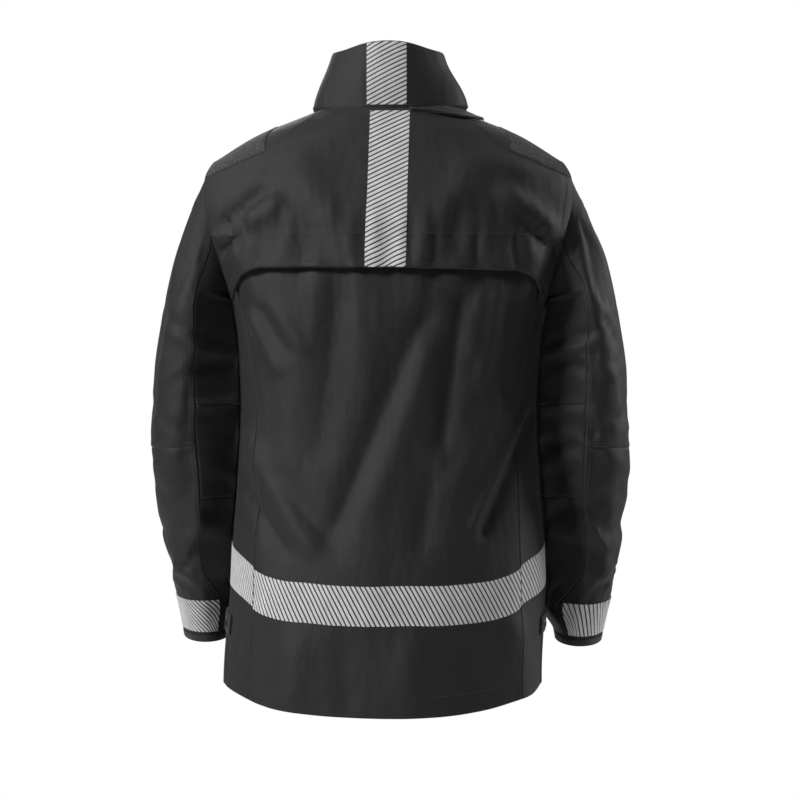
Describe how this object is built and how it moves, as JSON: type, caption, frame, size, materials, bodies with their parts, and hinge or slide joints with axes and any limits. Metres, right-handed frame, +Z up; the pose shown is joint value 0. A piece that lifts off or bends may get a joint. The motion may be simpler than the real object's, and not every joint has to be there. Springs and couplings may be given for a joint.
{
  "type": "turnout coat",
  "caption": "Black waterproof turnout coat worn closed: standing collar, caped back yoke, two-piece sleeves, front zip and segmented silver reflective tape.",
  "frame": {"origin": "where a hook bears on the hanger loop's lower edge, at the middle of the back neck", "axes": "+Z up along the coat's length, the front faces -Y, the wearer's left is +X"},
  "size_m": [0.6382, 0.296, 0.883],
  "materials": {
    "shell": "waterproof softshell weave",
    "reflective_tape": "segmented silver reflective film",
    "lining": "smooth woven lining",
    "vent_mesh": "open knitted mesh",
    "grip_patch": "coated ripstop",
    "trim": "webbing and binding",
    "zip_tape": "coil and woven tape",
    "zip_metal": "black enamel",
    "loop_panel": "napped loop"
  },
  "bodies": {
    "torso": {"back_panel": "shell", "yoke_vent_mesh": "vent_mesh", "back_yoke": "shell", "yoke_tape": "reflective_tape", "waist_tape_back": "reflective_tape", "back_lining": "lining", "collar_back": "shell", "collar_lining": "lining", "collar_tape": "reflective_tape", "hood_stow_flap": "shell", "hanger_loop": "trim", "side_panel_left": "shell", "side_panel_right": "shell", "side_gusset_left": "shell", "side_gusset_right": "shell", "shoulder_panel_left": "shell", "shoulder_panel_right": "shell", "shoulder_patch_left": "grip_patch", "shoulder_patch_right": "grip_patch", "sleeve_head_left": "shell", "sleeve_head_right": "shell"},
    "yoke_flap": {"yoke_flap": "shell", "flap_tape": "reflective_tape"},
    "front_left": {"front_panel_left": "shell", "front_lining_left": "lining", "waist_tape_front_left": "reflective_tape", "collar_end_left": "shell", "zip_half_left": "zip_tape", "pocket_zip_left": "zip_tape", "id_panel": "loop_panel"},
    "front_right": {"front_panel_right": "shell", "front_lining_right": "lining", "waist_tape_front_right": "reflective_tape", "collar_end_right": "shell", "zip_half_right": "zip_tape", "pocket_zip_right": "zip_tape", "mic_loop": "trim", "zip_box": "zip_tape"},
    "zip_slider": {"zip_slider": "zip_metal"},
    "zip_pull": {"zip_pull": "zip_metal"},
    "sleeve_left": {"upper_sleeve_left": "shell", "sleeve_elbow_left": "shell"},
    "forearm_left": {"forearm_sleeve_left": "shell", "cuff_band_left": "trim", "cuff_tape_left": "reflective_tape"},
    "cuff_tab_left": {"cuff_tab_left": "trim"},
    "vent_tab_left": {"vent_tab_left": "trim"},
    "pocket_slider_left": {"pocket_slider_left": "zip_metal"},
    "sleeve_right": {"upper_sleeve_right": "shell", "sleeve_elbow_right": "shell"},
    "forearm_right": {"forearm_sleeve_right": "shell", "cuff_band_right": "trim", "cuff_tape_right": "reflective_tape"},
    "cuff_tab_right": {"cuff_tab_right": "trim"},
    "vent_tab_right": {"vent_tab_right": "trim"},
    "pocket_slider_right": {"pocket_slider_right": "zip_metal"}
  },
  "joints": [
    {"name": "yoke_flap_lift", "type": "hinge", "parent": "torso", "child": "yoke_flap", "pos_m": [0, 0.07057, -0.168], "axis": [1, 0, 0], "range_deg": [0, 25], "deforming": ["yoke_flap"]},
    {"name": "front_left_open", "type": "hinge", "parent": "torso", "child": "front_left", "pos_m": [0.129, -0.147, -0.375], "axis": [-0.1348, 0.0026, 0.9909], "range_deg": [0, 60], "deforming": ["side_panel_left", "zip_half_left"]},
    {"name": "sleeve_left_raise", "type": "hinge", "parent": "torso", "child": "sleeve_left", "pos_m": [0.222, -0.058, -0.118], "axis": [0, -1, 0], "range_deg": [0, 45], "deforming": ["sleeve_head_left"]},
    {"name": "elbow_left_bend", "type": "hinge", "parent": "sleeve_left", "child": "forearm_left", "pos_m": [0.26, -0.066, -0.425], "axis": [-1, 0, 0], "range_deg": [0, 75], "deforming": ["sleeve_elbow_left"]},
    {"name": "cuff_tab_left_open", "type": "hinge", "parent": "forearm_left", "child": "cuff_tab_left", "pos_m": [0.27036, -0.16003, -0.66921], "axis": [0.1363, 0.1755, 0.975], "range_deg": [0, 100]},
    {"name": "vent_tab_left_open", "type": "hinge", "parent": "torso", "child": "vent_tab_left", "pos_m": [0.21128, -0.09178, -0.66792], "axis": [0.0482, -0.0142, -0.9987], "range_deg": [0, 30]},
    {"name": "pocket_left_slide", "type": "slide", "parent": "front_left", "child": "pocket_slider_left", "axis": [0.2311, -0.0089, -0.9729], "range_m": [0, 0.1431]},
    {"name": "front_right_open", "type": "hinge", "parent": "torso", "child": "front_right", "pos_m": [-0.129, -0.147, -0.375], "axis": [-0.1348, -0.0026, -0.9909], "range_deg": [0, 60], "deforming": ["side_panel_right", "zip_half_left"]},
    {"name": "sleeve_right_raise", "type": "hinge", "parent": "torso", "child": "sleeve_right", "pos_m": [-0.222, -0.058, -0.118], "axis": [0, 1, 0], "range_deg": [0, 45], "deforming": ["sleeve_head_right"]},
    {"name": "elbow_right_bend", "type": "hinge", "parent": "sleeve_right", "child": "forearm_right", "pos_m": [-0.26, -0.066, -0.425], "axis": [-1, 0, 0], "range_deg": [0, 75], "deforming": ["sleeve_elbow_right"]},
    {"name": "cuff_tab_right_open", "type": "hinge", "parent": "forearm_right", "child": "cuff_tab_right", "pos_m": [-0.27036, -0.16003, -0.66921], "axis": [0.1363, -0.1755, -0.975], "range_deg": [0, 100]},
    {"name": "vent_tab_right_open", "type": "hinge", "parent": "torso", "child": "vent_tab_right", "pos_m": [-0.21128, -0.09178, -0.66792], "axis": [0.0482, 0.0142, 0.9987], "range_deg": [0, 30]},
    {"name": "pocket_right_slide", "type": "slide", "parent": "front_right", "child": "pocket_slider_right", "axis": [-0.2311, -0.0089, -0.9729], "range_m": [0, 0.1431]},
    {"name": "zip_slide", "type": "slide", "parent": "front_right", "child": "zip_slider", "axis": [0, -0.0599, -0.9982], "range_m": [0, 0.7243]},
    {"name": "zip_pull_swing", "type": "hinge", "parent": "zip_slider", "child": "zip_pull", "pos_m": [0, -0.16123, 0.00715], "axis": [-1, 0, 0], "range_deg": [0, 150]}
  ]
}
